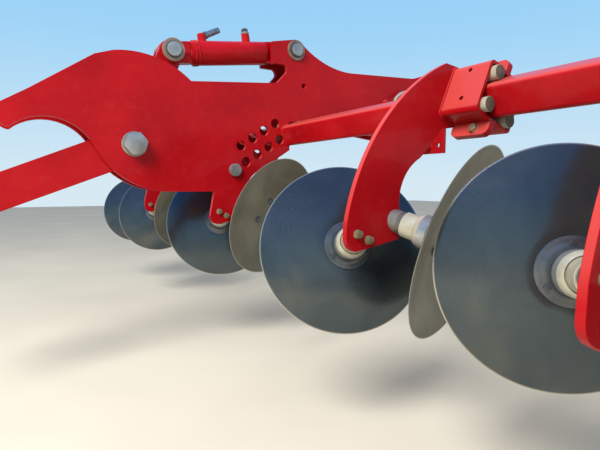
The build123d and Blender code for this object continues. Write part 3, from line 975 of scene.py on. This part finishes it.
pivot_place = middle_of("pivot_bolt")
bar_profile = [(pivot_radius, -bar_half), (pivot_radius, bar_half)]
shells = [lathe(pivot_place, (0, 1, 0), bar_profile, steps=64)]
for side in (-1, 1):
    way = np.array([0.0, side, 0.0])
    face = pivot_place + way * plate_face
    shells.append(lathe(face, way, pivot_washer_profile, steps=72))
    head_seat = face + way * pivot_washer_thickness
    shells.append(hexagon(head_seat, way, head_across, head_height, head_turn, head_crown))
covered = ("pivot_bolt",)
add_shells("pivot_bolt_set", shells, grey_plate, "section", covered, crease=24)


# Cylinder rod: a hard-chromed bar that slides out of the gland, welded to a red end block with
# a wide eye for its pin.
rod_edge = 0.0008
block_length = 0.076
chrome_tones = ((0.3, (0.55, 0.56, 0.57)), (0.7, (0.70, 0.71, 0.72)))
chrome, tree, shader, place = finish("chromed_rod", Metallic=1.0)
film = texture(tree, "ShaderNodeTexNoise", place, Scale=30.0, Detail=4.0)
tree.links.new(ramp(tree, film.outputs["Fac"], *chrome_tones), shader.inputs["Base Color"])
rough = ramp(tree, film.outputs["Fac"], (0.3, 0.08), (0.7, 0.22))
tree.links.new(rough, shader.inputs["Roughness"])

rod_eye = middle_of("rod_pin")
base_eye = middle_of("base_pin")
stroke_way = (base_eye - rod_eye) / np.linalg.norm(base_eye - rod_eye)
across_way = np.array([-stroke_way[2], 0.0, stroke_way[0]])
rod = eased("cylinder_rod", rod_edge, red_paint)
rod.data.materials.append(chrome)
work = bmesh.new()
work.from_mesh(rod.data)
bmesh.ops.bisect_plane(
    work,
    geom=work.verts[:] + work.edges[:] + work.faces[:],
    dist=1e-6,
    plane_co=(rod_eye + stroke_way * (block_length + 0.0001)).tolist(),
    plane_no=stroke_way.tolist(),
)
work.to_mesh(rod.data)
work.free()
face_middle = np.array([tuple(face.center) for face in rod.data.polygons])
beyond = (face_middle - rod_eye) @ stroke_way > block_length + 0.0002
rod.data.polygons.foreach_set("material_index", beyond.astype(np.int32))


# Barrel trim: two raised seal rings where the rod leaves the barrel, and an oil fitting on each
# port, closed at its end. The front one stands straight up on a hexagon adaptor, the rear one is
# an elbow with a crimped ferrule.
barrel_radius = 0.044
gland_places = (0.0905, 0.1015)
port_top = 0.064
front_port = 0.3127
rear_port = 0.132
sleeve_radius = 0.0153
front_sleeve = 0.009
rear_sleeve = 0.006
adaptor_seat = 0.0085
adaptor_across = 0.029
adaptor_height = 0.0062
adaptor_turn = 0.2
cap_place = 0.0172
cap_across = 0.025
cap_height = 0.009
cap_turn = 0.5
elbow_turn = 0.34
elbow_drop = 0.005
gland_profile = [
    (barrel_radius - 0.002, -0.0042),
    (barrel_radius + 0.0008, -0.0038),
    (barrel_radius + 0.0024, -0.0024),
    (barrel_radius + 0.0030, 0.0),
    (barrel_radius + 0.0024, 0.0024),
    (barrel_radius + 0.0008, 0.0038),
    (barrel_radius - 0.002, 0.0042),
]
adaptor_profile = [
    (0.008, 0.009),
    (0.0118, 0.009),
    (0.0126, 0.0098),
    (0.0126, 0.0165),
    (0.0112, 0.0172),
    (0.0112, 0.018),
    (0.008, 0.018),
]
tip_profile = [(0.006, 0.008), (0.0088, 0.008), (0.0088, 0.0105), (0.0075, 0.0122), (0.004, 0.0126)]
elbow_profile = [
    (0.001, -0.006),
    (0.0095, -0.005),
    (0.0105, 0.0),
    (0.0105, 0.012),
    (0.0135, 0.0125),
    (0.0135, 0.022),
    (0.0112, 0.0225),
    (0.0112, 0.030),
    (0.0117, 0.0308),
    (0.0117, 0.038),
    (0.0112, 0.0388),
    (0.0112, 0.046),
    (0.0117, 0.0468),
    (0.0117, 0.054),
    (0.0112, 0.0548),
    (0.0108, 0.076),
    (0.004, 0.0768),
]
blue_tones = ((0.10, 0.13, 0.16), (0.17, 0.21, 0.25), (0.27, 0.31, 0.34))
blue_steel = turned_metal(
    "blue_grey_fitting", blue_tones, roughness=0.36, metallic=0.6, grain_scale=500
)

seats = [rod_eye + stroke_way * at for at in gland_places]
rings = [lathe(seat, stroke_way, gland_profile, steps=96) for seat in seats]
add_shells("gland_rings", rings, red_paint, "barrel", crease=70)

port = rod_eye + stroke_way * front_port + across_way * port_top
rear = rod_eye + stroke_way * rear_port + across_way * port_top
sleeves = []
for seat, tall in ((port, front_sleeve), (rear, rear_sleeve)):
    sleeve_profile = [
        (0.008, -0.001),
        (sleeve_radius, -0.001),
        (sleeve_radius, 0.0),
        (sleeve_radius, tall - 0.001),
        (sleeve_radius - 0.0012, tall),
        (0.004, tall),
    ]
    sleeves.append(lathe(seat, across_way, sleeve_profile, steps=40))
add_shells("port_sleeves", sleeves, red_paint, "barrel")

nut_seat = port + across_way * adaptor_seat
nut = hexagon(nut_seat, across_way, adaptor_across, adaptor_height, adaptor_turn)
shells = [nut, lathe(port, across_way, adaptor_profile, steps=40)]
add_shells("port_adaptor", shells, grey_plate, "barrel")
cap_seat = port + across_way * cap_place
cap = hexagon(cap_seat, across_way, cap_across, cap_height, cap_turn)
shells = [cap, lathe(cap_seat, across_way, tip_profile, steps=32)]
add_shells("port_nut", shells, dark_steel, "barrel")

elbow_way = stroke_way * math.cos(elbow_turn) + across_way * math.sin(elbow_turn)
elbow = lathe(rear - across_way * elbow_drop, elbow_way, elbow_profile, steps=40)
add_shells("elbow_fitting", [elbow], blue_steel, "barrel")


# Weld beads: the plates, beam, clamps and flanges are joined by hand-run fillets, a row of
# overlapping ripples under the same red paint.
bead_radius = 0.0042
end_bead_radius = 0.0022
clamp_bead_radius = 0.0036
flange_bead_radius = 0.0046
ripple = 0.0045
ripple_height = 0.16
tapered = 0.45
averaged = 11
inner_face = 0.040
half_beam = beam_side / 2
half_clamp = 0.066
run_corner = 0.008
end_corner = 0.006
flange_weld = (-0.168, 0.156)


def tube(path, lift, radius, steps):
    """A round bar along a path: radius * (cos a * e1 + sin a * e2) about each point, where e1 is
    square to the path and the lift, and e2 is square to the path and e1."""
    way = np.gradient(path, axis=0)
    way /= np.linalg.norm(way, axis=1)[:, None]
    first = np.cross(way, lift)
    first /= np.linalg.norm(first, axis=1)[:, None]
    second = np.cross(way, first)
    angle = np.linspace(0, 2 * np.pi, steps, endpoint=False)[None, :, None]
    spoke = np.cos(angle) * first[:, None] + np.sin(angle) * second[:, None]
    return path[:, None] + np.reshape(radius, (-1, 1, 1)) * spoke


def bead(corners, radius=bead_radius):
    """A bead along a run of points in a plane of one Y: a bar whose radius is
    r * (1 + ripple height * sin(2 pi s / ripple)), the run's corners rounded by averaging."""
    corners = np.array(corners, float)
    leg = np.linalg.norm(np.diff(corners, axis=0), axis=1)
    reach = np.concatenate([[0.0], np.cumsum(leg)])
    s = np.linspace(0, reach[-1], int(reach[-1] / (ripple / 5)))
    path = np.stack([np.interp(s, reach, corners[:, k]) for k in range(3)], axis=1)
    padded = np.pad(path, ((averaged // 2, averaged // 2), (0, 0)), mode="edge")
    kernel = np.ones(averaged) / averaged
    path = np.stack([np.convolve(padded[:, k], kernel, "valid") for k in range(3)], axis=1)
    size = radius * (1 + ripple_height * np.sin(2 * np.pi * s / ripple))
    size[0] = size[-1] = radius * tapered
    return tube(path, (0, 1, 0), size, steps=8)


def run_about_beam(turn, run, y):
    """Corners of a run in axes turned about the beam's middle, at one Y of the section."""
    places = [about_beam(turn, x, z) for x, z in run]
    return [(x, y, z) for x, z in places]


rear_run = [
    (-0.030, -half_beam),
    (-half_beam, -half_beam + run_corner),
    (-half_beam, half_beam - run_corner),
    (-half_beam + run_corner, half_beam),
    (-0.004, half_beam),
]
end_run = [
    (0.0, -half_beam),
    (-half_beam + end_corner, -half_beam),
    (-half_beam, -half_beam + end_corner),
    (-half_beam, half_beam - end_corner),
    (-half_beam + end_corner, half_beam),
    (half_beam - end_corner, half_beam),
    (half_beam, half_beam - end_corner),
    (half_beam, -half_beam + end_corner),
    (half_beam - end_corner, -half_beam),
    (0.0, -half_beam),
]
clamp_run = [
    (-0.013, -half_clamp),
    (-half_clamp + run_corner, -half_clamp),
    (-half_clamp, -half_clamp + run_corner),
    (-half_clamp, half_clamp - run_corner),
    (-half_clamp + run_corner, half_clamp),
    (-0.013, half_clamp),
]
plate_sides = [side * y for side in (-1, 1) for y in (plate_face, inner_face)]
beads = [bead(run_about_beam(beam_turn, rear_run, y)) for y in plate_sides]
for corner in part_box("cross_beam"):
    beads.append(bead(run_about_beam(beam_turn, end_run, corner[1]), end_bead_radius))
for number in arm_numbers:
    plate = arm_faces[number][0][1]
    beads.append(bead(run_about_beam(clamp_turn, clamp_run, plate), clamp_bead_radius))
flange_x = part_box("front_flange")[0][0]
for y in plate_sides:
    beads.append(bead([(flange_x, y, z) for z in flange_weld], flange_bead_radius))
add_shells("weld_beads", beads, red_paint, "section", crease=80)


# Bent handle: a plated round bar bent to a loop, its feet welded to the near side plate beside a
# short red boss. The bar is carried along a run of points that are averaged with their
# neighbours three times.
handle_bar = 0.0065
handle_run = np.array(
    [
        (-0.205, -0.052, 0.083),
        (-0.207, -0.078, 0.082),
        (-0.232, -0.088, 0.079),
        (-0.270, -0.088, 0.066),
        (-0.297, -0.087, 0.042),
        (-0.300, -0.083, 0.020),
        (-0.296, -0.070, 0.010),
        (-0.295, -0.052, 0.008),
    ]
)
bend_lift = (0.4, 0.5, 0.77)
boss_place = (-0.331, -0.054, 0.023)
boss_profile = [
    (0.004, 0.0),
    (0.0125, 0.0),
    (0.0135, 0.001),
    (0.0135, 0.0200),
    (0.0118, 0.0222),
    (0.004, 0.0225),
]
knots = np.linspace(0, 1, len(handle_run))
fine = np.linspace(0, 1, 90)
path = np.stack([np.interp(fine, knots, handle_run[:, k]) for k in range(3)], axis=1)
for _ in range(3):
    path[3:-3] = sum(path[3 + k : len(path) - 3 + k] for k in range(-3, 4)) / 7
handle = tube(path, bend_lift, handle_bar, steps=16)
add_shells("bent_handle", [handle], pale_plate, "section", crease=60)
boss = lathe(boss_place, (0, -1, 0), boss_profile, steps=36)
add_shells("handle_boss", [boss], red_paint, "section")
